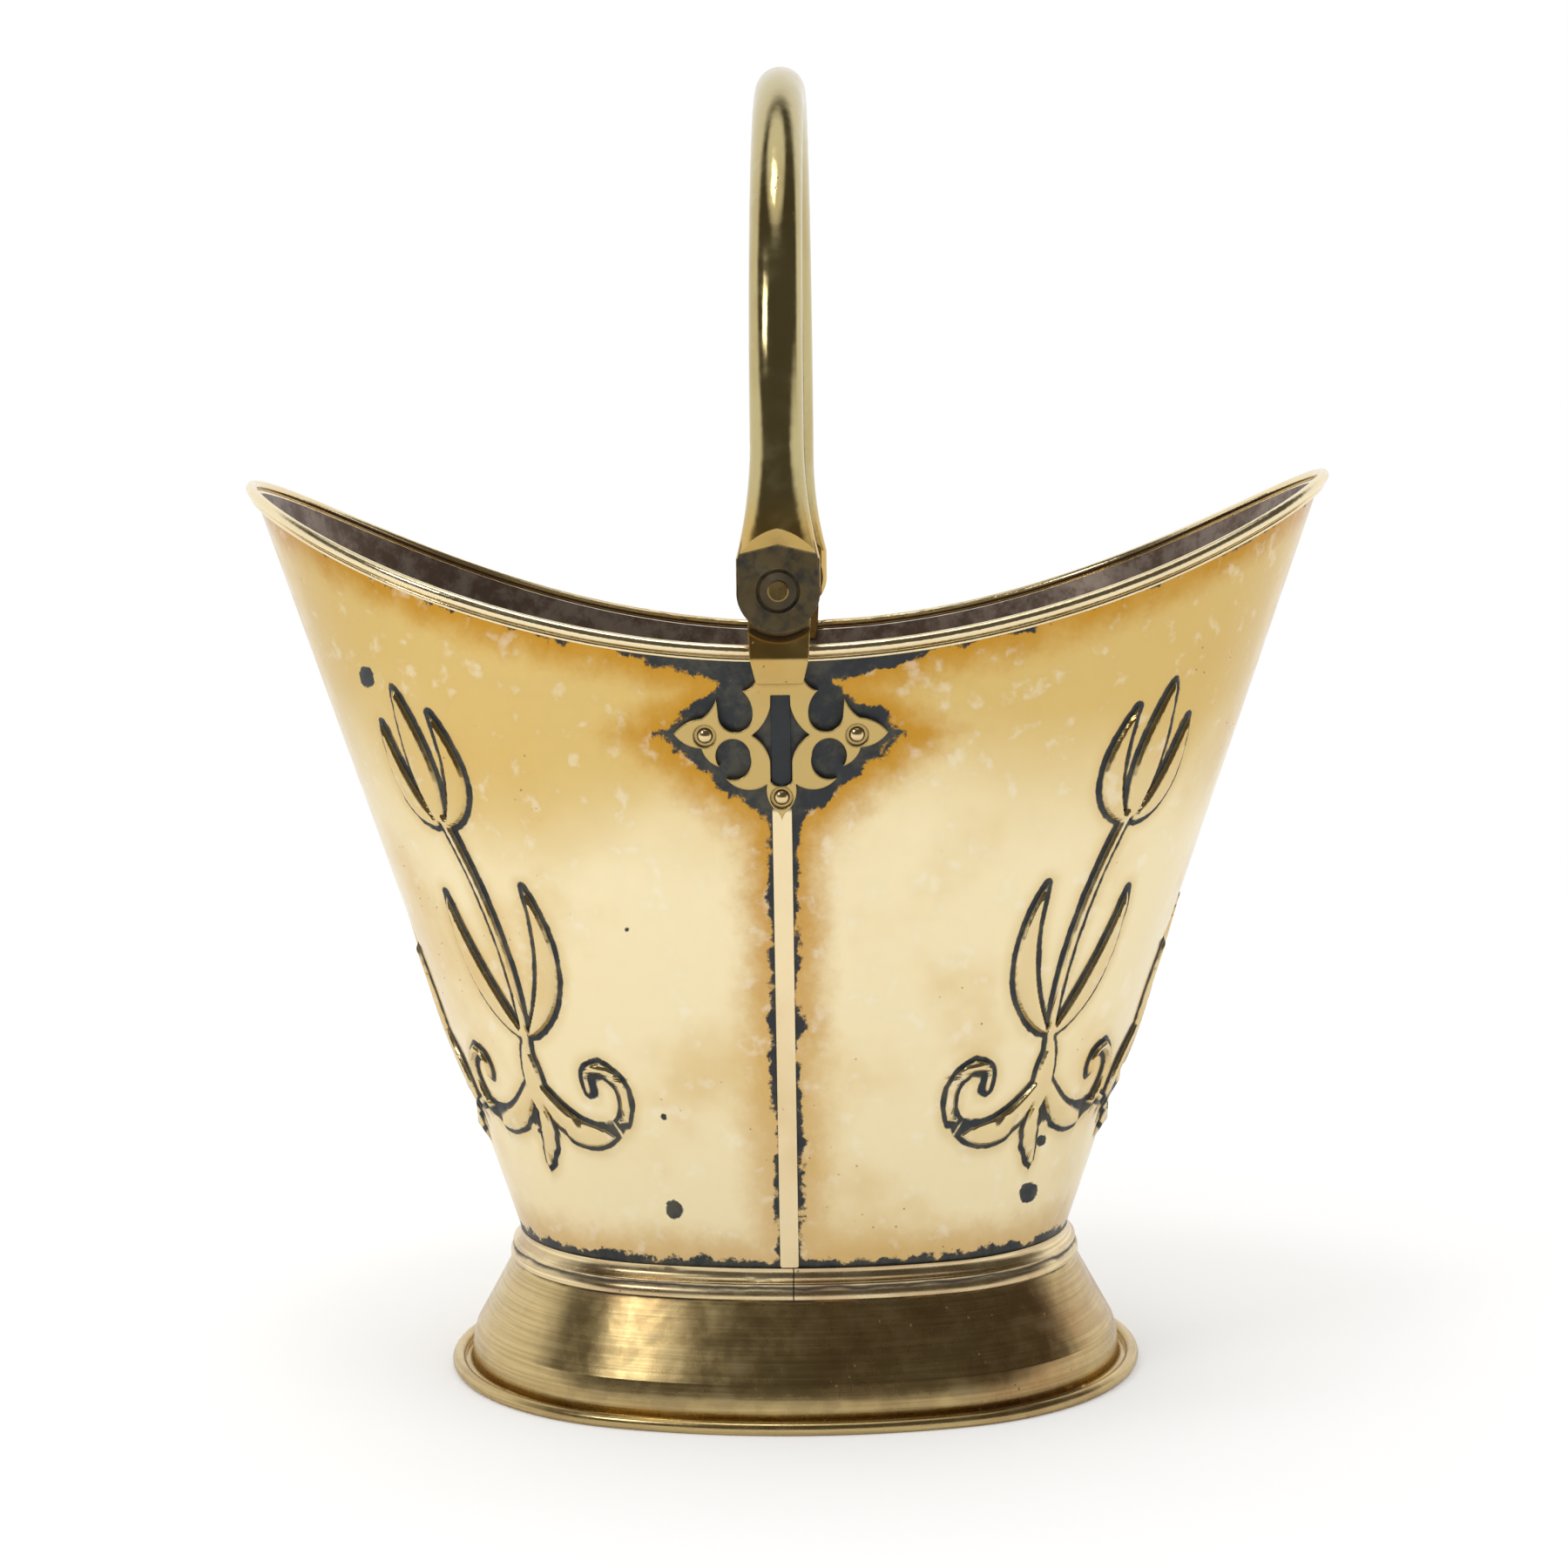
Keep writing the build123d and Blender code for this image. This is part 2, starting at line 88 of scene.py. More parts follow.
# Names of the body sheet's own attributes
film_field = "tarnish_mm"
relief_line = "relief_mm"
inner_face = "inside"

# Colours of the wear and of the smaller finishes
pale_bloom = (0.97, 0.91, 0.76)
pit_brown = (0.16, 0.09, 0.04)
old_gold = (0.67, 0.46, 0.14)
relief_gold = (0.66, 0.46, 0.17)
sheet_stain = (0.68, 0.44, 0.14)
dusty_film = (0.085, 0.080, 0.062)
lining_brown = (0.13, 0.085, 0.06)
lining_grey = (0.26, 0.20, 0.16)
handle_stain = (0.36, 0.26, 0.09)
ear_gold = (0.62, 0.40, 0.11)
ear_film = (0.045, 0.048, 0.046)
brushed_brown = (0.36, 0.24, 0.10)
foot_stain = (0.30, 0.13, 0.05)
rim_gold = (0.90, 0.76, 0.48)
strip_gold = (0.88, 0.72, 0.44)
collar_gold = (0.92, 0.76, 0.46)
rivet_gold = (0.78, 0.60, 0.32)
pin_olive = (0.46, 0.34, 0.14)
washer_grey = (0.24, 0.22, 0.17)
white = (1.0, 1.0, 1.0)
table_white = (0.92, 0.92, 0.92)
room_dark = (0.095, 0.086, 0.07)


# Settings that a user would change
class BucketSizes(bpy.types.PropertyGroup):
    relief_height: bpy.props.FloatProperty(
        name="Relief height", description="How far the embossed sprays stand out of the sheet",
        default=2.2 * mm, min=0.0, max=3 * mm, unit="LENGTH", subtype="DISTANCE", precision=4)
    outline_width: bpy.props.FloatProperty(
        name="Dark outline", description="Width of the tarnish left in the groove round the relief",
        default=1.45 * mm, min=0.1 * mm, max=3 * mm, unit="LENGTH", subtype="DISTANCE", precision=4)
    rivet_head: bpy.props.FloatProperty(
        name="Rivet head radius", description="Radius of the domed rivet heads",
        default=2.55 * mm, min=1 * mm, max=3.5 * mm, unit="LENGTH", subtype="DISTANCE", precision=4)


class BucketFinish(bpy.types.PropertyGroup):
    polished: bpy.props.FloatVectorProperty(
        name="Polished brass", description="Pale gold of the rubbed sheet",
        default=(0.90, 0.765, 0.475), size=3, min=0, max=1, subtype="COLOR")
    amber: bpy.props.FloatVectorProperty(
        name="Amber stain", description="Warm stain near the rim and the tarnish",
        default=(0.54, 0.27, 0.03), size=3, min=0, max=1, subtype="COLOR")
    # Also the colour of the painted shade in the brackets' crevices.
    tarnish: bpy.props.FloatVectorProperty(
        name="Tarnish", description="Grey-blue film where no polish reaches",
        default=(0.036, 0.040, 0.043), size=3, min=0, max=1, subtype="COLOR")
    brushed: bpy.props.FloatVectorProperty(
        name="Brushed foot", description="Darker brass of the skirt",
        default=(0.64, 0.49, 0.23), size=3, min=0, max=1, subtype="COLOR")
    handle: bpy.props.FloatVectorProperty(
        name="Handle brass", description="Olive brass of the solid handle",
        default=(0.54, 0.45, 0.22), size=3, min=0, max=1, subtype="COLOR")
    cast: bpy.props.FloatVectorProperty(
        name="Cast brass", description="Amber gold of the brackets",
        default=(0.56, 0.40, 0.15), size=3, min=0, max=1, subtype="COLOR")


def sizes():
    return bpy.context.scene.bucket_sizes


def finish():
    return bpy.context.scene.bucket_finish


# Small tools for shader nodes
class Nodes:
    """Adds nodes to one tree and links values, sockets or colours to their inputs."""

    def __init__(self, tree):
        self.tree = tree

    def add(self, kind, settings=None, inputs=None):
        node = self.tree.nodes.new(kind)
        for key, value in (settings or {}).items():
            setattr(node, key, value)
        for key, value in (inputs or {}).items():
            self.feed(node.inputs[key], value)
        return node

    def feed(self, socket, value):
        if isinstance(value, bpy.types.NodeSocket):
            self.tree.links.new(value, socket)
        elif hasattr(value, "__len__") and len(value) == 3 and socket.type == "RGBA":
            socket.default_value = (*value, 1.0)
        else:
            socket.default_value = value

    def place(self, stretch=None):
        """Object coordinates, stretched along each axis if asked."""
        coord = self.add("ShaderNodeTexCoord").outputs["Object"]
        if stretch is None:
            return coord
        inputs = {0: coord, 1: stretch}
        return self.add("ShaderNodeVectorMath", {"operation": "MULTIPLY"}, inputs).outputs["Vector"]

    def axes(self):
        return self.add("ShaderNodeSeparateXYZ", inputs={"Vector": self.place()}).outputs

    def noise(self, scale, detail=3.0, stretch=None, rough=0.55):
        inputs = {"Vector": self.place(stretch), "Scale": scale, "Detail": detail, "Roughness": rough}
        return self.add("ShaderNodeTexNoise", inputs=inputs).outputs["Fac"]

    def cells(self, scale):
        inputs = {"Vector": self.place(), "Scale": scale}
        return self.add("ShaderNodeTexVoronoi", inputs=inputs).outputs["Distance"]

    def attribute(self, name):
        return self.add("ShaderNodeAttribute", {"attribute_name": name}).outputs["Fac"]

    def span(self, value, low, high, to_low=0.0, to_high=1.0, smooth=True):
        """Maps low to high onto to_low to to_high, held at both ends."""
        kind = "SMOOTHSTEP" if smooth else "LINEAR"
        inputs = {"Value": value, "From Min": low, "From Max": high, "To Min": to_low, "To Max": to_high}
        node = self.add("ShaderNodeMapRange", {"interpolation_type": kind}, inputs)
        return node.outputs["Result"]

    def spread(self, value, low, high, reach):
        """Maps low to high evenly onto -reach to reach."""
        return self.span(value, low, high, -reach, reach, smooth=False)

    def math(self, operation, a, b=0.0, clamp=False):
        node = self.add("ShaderNodeMath", {"operation": operation, "use_clamp": clamp})
        self.feed(node.inputs[0], a)
        self.feed(node.inputs[1], b)
        return node.outputs[0]

    def plus(self, a, b):
        return self.math("ADD", a, b)

    def minus(self, a, b):
        return self.math("SUBTRACT", a, b)

    def times(self, a, b):
        return self.math("MULTIPLY", a, b)

    def larger(self, a, b):
        return self.math("MAXIMUM", a, b)

    def blend(self, factor, a, b):
        node = self.add("ShaderNodeMix", {"data_type": "RGBA"})
        self.feed(node.inputs["Factor"], factor)
        self.feed(node.inputs["A"], a)
        self.feed(node.inputs["B"], b)
        return node.outputs["Result"]

    def bump(self, height, strength, distance, below=None):
        inputs = {"Height": height, "Strength": strength, "Distance": distance}
        if below is not None:
            inputs["Normal"] = below
        return self.add("ShaderNodeBump", inputs=inputs).outputs["Normal"]

    def rounded_edges(self, radius):
        """Normal that softens the crisp edges of a solid metal piece."""
        return self.add("ShaderNodeBevel", {"samples": 4}, {"Radius": radius}).outputs["Normal"]


def empty_nodes(owner):
    """Clears the node tree of a material or world and returns the tools for it."""
    owner.use_nodes = True
    owner.node_tree.nodes.clear()
    return Nodes(owner.node_tree)


def new_material(name):
    material = bpy.data.materials.new(name)
    nodes = empty_nodes(material)
    shader = nodes.add("ShaderNodeBsdfPrincipled")
    out = nodes.add("ShaderNodeOutputMaterial")
    nodes.feed(out.inputs["Surface"], shader.outputs["BSDF"])
    return material, nodes, shader


def worn_brass(nodes, shader, bright, stain, roughness, dirt,
               darkening=None, film=None, normal=None, bloom=0.07):
    """Polished metal with cloudy stain, pits and a light bloom.

    dirt is how far the stain and pits go (0 to 1), bloom how far the pale specks do;
    the darkening field (0 to 1) is full tarnish, in the brackets' crevices also painted shade, and film
    its colour."""
    cloud = nodes.noise(17, 4)
    fine = nodes.noise(130, 3)
    colour = nodes.blend(nodes.span(cloud, 0.47, 0.72, 0.0, 0.6 * dirt), bright, stain)
    colour = nodes.blend(nodes.span(fine, 0.56, 0.72, 0.0, bloom), colour, pale_bloom)
    cells = nodes.cells(210)
    here = nodes.span(cloud, 0.54, 0.60, 0.0, 0.8 * dirt)
    pits = nodes.times(nodes.span(cells, 0.11, 0.04), here)
    colour = nodes.blend(pits, colour, pit_brown)
    rough = nodes.plus(nodes.span(fine, 0.3, 0.7, -0.04, 0.07), roughness)
    rough = nodes.plus(rough, nodes.times(pits, 0.3))
    metallic = nodes.span(pits, 0.0, 1.0, 1.0, 0.5)
    if darkening is not None:
        if film is None:
            film = tuple(finish().tarnish)
        colour = nodes.blend(darkening, colour, film)
        rough = nodes.plus(rough, nodes.times(darkening, 0.22))
        metallic = nodes.math("SUBTRACT", metallic, nodes.times(darkening, 0.35), clamp=True)
    swell = nodes.times(cloud, 0.9)
    grain = nodes.times(fine, 0.06)
    height = nodes.minus(nodes.plus(swell, grain), nodes.times(pits, 0.1))
    nodes.feed(shader.inputs["Base Color"], colour)
    nodes.feed(shader.inputs["Roughness"], rough)
    nodes.feed(shader.inputs["Metallic"], metallic)
    nodes.feed(shader.inputs["Normal"], nodes.bump(height, 0.7, 1 * mm, normal))


# Finishes
def body_brass():
    """Rubbed sheet: tarnish by the fittings and the relief, amber round it, a brown lining inside."""
    material, nodes, shader = new_material("body_brass")
    height = nodes.axes()["Z"]
    away = nodes.attribute(film_field)
    uneven = nodes.noise(95, 5, rough=0.7)
    near = nodes.plus(away, nodes.spread(uneven, 0.25, 0.75, 3.4))
    film = nodes.span(near, 0.6, -0.6)
    line = nodes.attribute(relief_line)
    width = sizes().outline_width / mm
    edge = nodes.plus(line, nodes.spread(uneven, 0.3, 0.7, 0.35))
    groove = nodes.times(nodes.span(line, -0.45, 0.0), nodes.span(edge, width + 0.35, width - 0.2))
    inside = nodes.attribute(inner_face)
    marks = oval_marks(nodes)
    darkening = nodes.larger(nodes.larger(film, groove), nodes.larger(marks, inside))
    dusty = nodes.blend(nodes.span(uneven, 0.40, 0.66), tuple(finish().tarnish), dusty_film)
    lining = nodes.blend(nodes.span(uneven, 0.40, 0.62), lining_brown, lining_grey)
    dusty = nodes.blend(inside, dusty, lining)

    cloudy = nodes.noise(9, 3)
    high_up = nodes.plus(height, nodes.spread(cloudy, 0.3, 0.7, 28 * mm))
    golden = nodes.span(high_up, 165 * mm, 240 * mm, 0.0, 0.9)
    bright = nodes.blend(golden, tuple(finish().polished), old_gold)
    reach = nodes.span(height, 60 * mm, 225 * mm, 0.55, 1.0)
    halo = nodes.times(nodes.span(near, 15.0, 0.0), reach)
    bright = nodes.blend(halo, bright, tuple(finish().amber))
    around_relief = nodes.span(edge, 6.0, 1.0, 0.0, 0.45)
    bright = nodes.blend(around_relief, bright, relief_gold)
    raised = nodes.bump(nodes.span(line, 0.15, -1.1), 0.6, 0.7 * mm)
    worn_brass(nodes, shader, bright, sheet_stain, 0.19, 0.9, darkening, dusty, raised, bloom=0.3)
    return material


# Dark oval marks on the front of the sheet: x, height, radius
front_marks = [
    (-37.5, 68, 3.1), (79, 69, 3.4), (83, 87, 2.0), (-40, 100, 1.4), (-50, 163, 1.0), (-134, 243, 3.2),
    (-82, 92, 1.1),
]
mark_squash = 0.85


def oval_marks(nodes):
    """Small dark ovals eaten into the front of the sheet."""
    flat = nodes.place((1, 0, mark_squash))
    ragged = nodes.spread(nodes.noise(420, 2), 0.3, 0.7, 0.35 * mm)
    front = nodes.span(nodes.axes()["Y"], 0.0, -5 * mm)
    found = None
    for x, height, radius in front_marks:
        centre = (x * mm, 0, mark_squash * height * mm)
        apart = nodes.add("ShaderNodeVectorMath", {"operation": "DISTANCE"}, {0: flat, 1: centre})
        size = nodes.plus(apart.outputs["Value"], ragged)
        spot = nodes.span(size, radius * mm, (radius - 0.5) * mm)
        found = spot if found is None else nodes.larger(found, spot)
    return nodes.times(found, front)


def plain_brass(name, colour, roughness, dirt, edge=0.0, crevice_shade=0.0, dark_above=None):
    """Brass with optional softened edges, painted shade in its crevices from ambient occlusion that also
    stands for the grime there, and tarnish above a height.
    """
    material, nodes, shader = new_material(name)
    normal = nodes.rounded_edges(edge) if edge else None
    darkening = None
    if crevice_shade:
        # Painted shade: ambient occlusion within this distance darkens the crevices towards the tarnish
        # colour, standing for both shade and grime there.
        open_sky = nodes.add("ShaderNodeAmbientOcclusion", {"samples": 6}, {"Distance": crevice_shade})
        darkening = nodes.span(open_sky.outputs["AO"], 0.66, 0.36, 0.0, 0.9)
    if dark_above is not None:
        darkening = nodes.span(nodes.axes()["Z"], dark_above, dark_above + 2 * mm)
    worn_brass(nodes, shader, tuple(colour), tuple(finish().amber), roughness, dirt, darkening, normal=normal)
    return material


def handle_brass():
    """Olive bar whose flat ears keep a dark film inside the counterbore and round it."""
    material, nodes, shader = new_material("handle_brass")
    x, y, z = nodes.axes()
    depth = nodes.math("ABSOLUTE", y)
    rise = nodes.minus(z, pivot_height * mm)
    from_pin = nodes.math("SQRT", nodes.plus(nodes.times(x, x), nodes.times(rise, rise)))
    past_face = nodes.span(depth, (ear_front_y - 0.35) * mm, (ear_front_y - 0.15) * mm)
    before_end = nodes.span(depth, (ear_front_y + 0.5) * mm, (ear_front_y + 0.2) * mm)
    on_ear = nodes.span(rise, ear_top * mm, (ear_top - 2) * mm)
    face = nodes.times(nodes.times(past_face, before_end), on_ear)
    in_bore = nodes.span(from_pin, bore_radius * mm, (bore_radius - 0.2) * mm)
    over_floor = nodes.span(depth, bore_floor_y * mm, (bore_floor_y + 0.5) * mm)
    worn = nodes.span(nodes.noise(170, 4), 0.30, 0.62, 1.0, 0.72)
    darkening = nodes.times(nodes.larger(face, nodes.times(in_bore, over_floor)), worn)
    near_ear = nodes.span(rise, 34 * mm, 14 * mm, 0.0, 0.8)
    bright = nodes.blend(near_ear, tuple(finish().handle), ear_gold)
    normal = nodes.rounded_edges(0.45 * mm)
    worn_brass(nodes, shader, bright, handle_stain, 0.14, 0.8, darkening, ear_film, normal)
    return material


def brushed_brass(name, colour, low_grime, high_grime):
    """Skirt and collar: horizontal brushing, red-brown specks and grime between two heights."""
    material, nodes, shader = new_material(name)
    fade = 1.2
    ragged = nodes.spread(nodes.noise(80, 4), 0.3, 0.7, 0.5 * mm)
    level = nodes.plus(nodes.axes()["Z"], ragged)
    above = nodes.span(level, low_grime * mm, (low_grime + fade) * mm)
    below = nodes.span(level, (high_grime + fade) * mm, high_grime * mm)
    darkening = nodes.times(nodes.times(above, below), 0.9)
    rings = nodes.noise(60, 3, (0.3, 0.3, 22))
    tone = nodes.blend(nodes.span(rings, 0.35, 0.65, 0.0, 0.5), tuple(colour), brushed_brown)
    brushed = nodes.bump(nodes.noise(420, 1, (0.05, 0.05, 1)), 0.12, 0.15 * mm)
    worn_brass(nodes, shader, tone, foot_stain, 0.25, 0.9, darkening, normal=brushed)
    return material


def repaint(material, *names):
    """Gives a CAD node's own slots this material."""
    for name in names:
        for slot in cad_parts[name].material_slots:
            slot.material = material


# Four-centre oval of the wall: two end arcs and two side arcs
def end_arc(height):
    """How far the end arc's centre lies along the oval, and its radius."""
    half_length = waist_half_length + end_lean * (height - waist_height)
    half_width = waist_half_width + side_lean * (height - waist_height)
    centre = (half_length - half_width) / (1 - oval_ratio)
    return centre, half_length - centre


def side_arc(height):
    """Radius of the side arc, and how far past the middle its centre lies."""
    centre, end_radius = end_arc(height)
    offset = oval_ratio * centre
    radius = end_radius + (centre * centre + offset * offset) / (2 * offset)
    beyond = (centre * centre - offset * offset) / (2 * offset)
    return radius, beyond


# Angle of the wall's normal where an end arc meets a side arc
oval_turn = math.atan2(1 - oval_ratio ** 2, 2 * oval_ratio)
edge_rounds = 15


def wall_point(angle, height, outward):
    """x and y of the wall where its normal points along the angle, for arrays of both."""
    centre, end_radius = end_arc(height)
    side_radius, beyond = side_arc(height)
    on_end = np.abs(angle) <= oval_turn
    end_x = centre + (end_radius + outward) * np.cos(angle)
    end_y = (end_radius + outward) * np.sin(angle)
    side_x = (side_radius + outward) * np.cos(angle)
    side_y = (side_radius + outward) * np.sin(angle) - np.sign(angle) * beyond
    return np.where(on_end, end_x, side_x), np.where(on_end, end_y, side_y)


def sheet_edge(angle):
    """Height of the sheet's top edge under the rim roll, found by closing in on it."""
    height = np.full_like(angle, rim_low)
    for _ in range(edge_rounds):
        x, _y = wall_point(angle, height, 0.0)
        height = rim_low + saddle_rise * (x / saddle_reach) ** 2 - sheet_drop
    return height


# Embossed sprays, as strokes in the unrolled wall: kind, start, bend and end as distance from the
# middle of the end and height, and half the greatest width
spray_strokes = [
    ("stem", (82, 114), (92, 150), (77, 198), 1.5),
    ("leaf", (76, 195), (75, 214), (73, 240), 4.6),
    ("leaf", (75, 195), (62, 202), (63, 228), 3.6),
    ("leaf", (78, 195), (92, 204), (84, 232), 3.6),
    ("leaf", (85, 124), (67, 140), (67, 172), 3.9),
    ("leaf", (86, 125), (108, 141), (100, 176), 3.9),
    ("leaf", (82, 98), (82, 110), (83, 124), 3.8),
    ("leaf", (82, 112), (95, 82), (119, 98), 4.3),
    ("stem", (117, 97), (125, 110), (112, 116), 2.0),
    ("stem", (112, 116), (104, 116), (106, 108), 1.6),
    ("leaf", (82, 112), (67, 84), (45, 100), 3.9),
    ("stem", (47, 99), (40, 112), (52, 117), 1.8),
    ("stem", (52, 117), (59, 116), (57, 109), 1.4),
    ("leaf", (82, 102), (84, 90), (76, 79), 3.2),
    ("stem", (47, 100), (26, 90), (0, 100), 1.5),
    ("leaf", (34, 96), (30, 112), (14, 121), 3.4),
    ("leaf", (30, 93), (20, 83), (4, 84), 3.0),
    ("leaf", (0, 100), (0, 127), (0, 164), 5.4),
    ("leaf", (3, 102), (23, 118), (18, 150), 3.7),
]
stroke_steps = 14
stroke_reach = 12.0        # how far from a stroke's step its distance is worked out
spray_height = 170.0       # where the wall is unrolled

# Section of the relief in millimetres: a cushion of two steps, a groove round it, a vein in its leaves
shoulder_share = 0.7
crown_share = 0.3
groove_depth = 0.28
groove_middle = 0.9
groove_width = 0.8
vein_depth = 0.40
vein_width = 0.6


def along_stroke(start, bend, end, t):
    return tuple((1 - t) ** 2 * a + 2 * t * (1 - t) * b + t * t * c for a, b, c in zip(start, bend, end))


def stroke_width(kind, widest, t):
    if kind == "stem":
        return widest
    return widest * math.sin(math.pi * t ** 0.85) ** 0.8 + 0.2


def relief_field(across, height):
    """Distance outside the nearest stroke (negative inside), and how far from its middle line."""
    edge = np.full_like(across, no_relief)
    middle = np.full_like(across, no_relief)
    for kind, start, bend, end, widest in spray_strokes:
        for i in range(stroke_steps):
            t0 = i / stroke_steps
            t1 = (i + 1) / stroke_steps
            ax, ay = along_stroke(start, bend, end, t0)
            bx, by = along_stroke(start, bend, end, t1)
            beside = np.abs(across - ax) < stroke_reach
            level = np.abs(height - ay) < stroke_reach
            near = np.where(beside & level)[0]
            if len(near) == 0:
                continue
            u = across[near] - ax
            v = height[near] - ay
            dx = bx - ax
            dy = by - ay
            t = np.clip((u * dx + v * dy) / (dx * dx + dy * dy), 0, 1)
            distance = np.hypot(u - t * dx, v - t * dy)
            width0 = stroke_width(kind, widest, t0)
            width1 = stroke_width(kind, widest, t1)
            outside = distance - width0 - t * (width1 - width0)
            closer = outside < edge[near]
            edge[near] = np.where(closer, outside, edge[near])
            vein = distance if kind == "leaf" else np.full_like(distance, no_relief)
            middle[near] = np.where(closer, vein, middle[near])
    return edge, middle


def smooth(value, low, high):
    t = np.clip((value - low) / (high - low), 0, 1)
    return t * t * (3 - 2 * t)


def relief_rise(edge, middle):
    """How far the sheet stands out of the wall, in millimetres."""
    shoulder = shoulder_share * smooth(edge, 0.25, -1.0)
    crown = crown_share * smooth(edge, -0.6, -3.6)
    groove = groove_depth * np.exp(-((edge - groove_middle) / groove_width) ** 2)
    vein = vein_depth * np.exp(-(middle / vein_width) ** 2) * smooth(edge, -1.0, -2.2)
    return (shoulder + crown) * sizes().relief_height / mm - groove - vein


def tarnish_distance(x, height, top):
    """Millimetres to the nearest place that polish doesn't reach."""
    aside = np.abs(x)
    from_middle = height - bracket_height
    up = np.where(from_middle > 0, film_above, film_below)
    bracket = (aside / film_half_width + np.abs(from_middle) / up - 1) * film_slope
    under_neck = (top - height) - neck_film * np.clip(1 - aside / neck_film_reach, 0, 1)
    under_rim = top - height - rim_film
    strip = aside - strip_half_width - strip_film
    collar = height - collar_top - collar_film
    return np.minimum.reduce([bracket, under_neck, under_rim, strip, collar])


# Rows and columns of a body sheet: a grid whose rows go up the outer face and down the inner one
column_stops = [0, 22, 262, 284]
angle_stops = [-math.pi / 2, -oval_turn, oval_turn, math.pi / 2]
outer_stops = [0, 10, 210, 222]
fine_low = 98.0            # heights of the outer face's second and third stop
fine_high = 239.0
inner_rows = 60
last_column = column_stops[-1]
last_outer = outer_stops[-1]
last_inner = last_outer + 1 + inner_rows
last_row = last_inner + 1
crisp_angle = 1.0          # radians between two faces


def sheet_heights(row, top):
    """Height of each vertex, from its row and the height of the sheet's edge above it."""
    fine_end = outer_stops[2]
    below_rim = np.interp(row, outer_stops[:3], [body_bottom, fine_low, fine_high])
    at_rim = fine_high + (top - fine_high) * (row - fine_end) / (last_outer - fine_end)
    outer_height = np.where(row < fine_end, below_rim, at_rim)
    share = np.clip((last_inner - row) / inner_rows, 0, 1)
    inner_height = body_bottom + (top - body_bottom) * share
    return np.where(row <= last_outer, outer_height, inner_height)


def unrolled(angle):
    """Distance along the wall from the middle of its end."""
    _centre, end_radius = end_arc(spray_height)
    side_radius, _beyond = side_arc(spray_height)
    past = np.abs(angle) - oval_turn
    return np.where(past > 0, oval_turn * end_radius + past * side_radius, np.abs(angle) * end_radius)


def body_sheet(name, side, material, node):
    """One half of the embossed body as a closed sheet; side is 1 for the right half."""
    bm = bmesh.new()
    bmesh.ops.create_grid(bm, x_segments=last_column, y_segments=last_row, size=1)
    bm.verts.ensure_lookup_table()
    flat = np.array([v.co for v in bm.verts])
    column = np.round((flat[:, 0] + 1) / 2 * last_column)
    row = np.round((flat[:, 1] + 1) / 2 * last_row)
    row = np.where(row == last_row, 0, row)
    outer = row <= last_outer

    angle = np.interp(column, column_stops, angle_stops)
    top = sheet_edge(angle)
    height = sheet_heights(row, top)
    edge, middle = relief_field(unrolled(angle), height)
    outward = np.where(outer, relief_rise(edge, middle), -sheet)
    x, y = wall_point(angle, height, outward)
    away = np.where(outer, tarnish_distance(x, height, top), no_film)

    film_layer = bm.verts.layers.float.new(film_field)
    line_layer = bm.verts.layers.float.new(relief_line)
    inside_layer = bm.verts.layers.float.new(inner_face)
    for i, vert in enumerate(bm.verts):
        vert.co = (side * x[i] * mm, y[i] * mm, height[i] * mm)
        vert[film_layer] = away[i]
        vert[line_layer] = edge[i] if outer[i] else no_relief
        vert[inside_layer] = 0.0 if outer[i] else 1.0
    close_sheet(bm)
    add_piece(bm, name, material, "bucket", "body_brass", node)


def close_sheet(bm):
    """Joins the wrapped rows, closes the seam ends and shades the faces, with crisp corners."""
    bmesh.ops.remove_doubles(bm, verts=bm.verts, dist=0.0005 * mm)
    open_edges = [e for e in bm.edges if e.is_boundary]
    bmesh.ops.holes_fill(bm, edges=open_edges, sides=0)
    bmesh.ops.recalc_face_normals(bm, faces=bm.faces)
    for face in bm.faces:
        face.smooth = True
    for line in bm.edges:
        if len(line.link_faces) == 2 and line.calc_face_angle() > crisp_angle:
            line.smooth = False


def add_piece(bm, name, material, body, slot, *nodes):
    mesh = bpy.data.meshes.new(name)
    bm.to_mesh(mesh)
    bm.free()
    piece = bpy.data.objects.new(name, mesh)
    bpy.context.scene.collection.objects.link(piece)
    mesh.materials.append(material)
    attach(piece, body)
    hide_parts(*nodes)


# Rivets: place on the wall as x and height, then the section in millimetres
rivet_places = {
    "left": (-23.3, bracket_height),
    "right": (23.3, bracket_height),
    "lower": (0.0, bracket_height - 19.5),
}
rivet_seat = 1.6
rivet_head_height = 1.9
rivet_shank = 1.5
rivet_turns = 40
dome_steps = 10
inner_head = [(2.25, -0.92), (2.4, -1.05), (2.4, -1.4), (2.2, -1.52), (0, -1.52)]


def rivet_profile():
    """Low dome with a rounded rim, on a shank that ends in a flat inner head."""
    head = sizes().rivet_head / mm
    sphere = (head ** 2 + rivet_head_height ** 2) / (2 * rivet_head_height)
    span = math.asin(head / sphere)
    crown = rivet_seat + rivet_head_height
    dome = []
    for i in range(dome_steps):
        turn = span * i / dome_steps
        dome.append((sphere * math.sin(turn), crown - sphere + sphere * math.cos(turn)))
    rim = [(head - 0.05, rivet_seat + 0.12), (head - 0.15, rivet_seat)]
    shank = [(rivet_shank, rivet_seat), (rivet_shank, inner_head[0][1])]
    return dome + rim + shank + inner_head


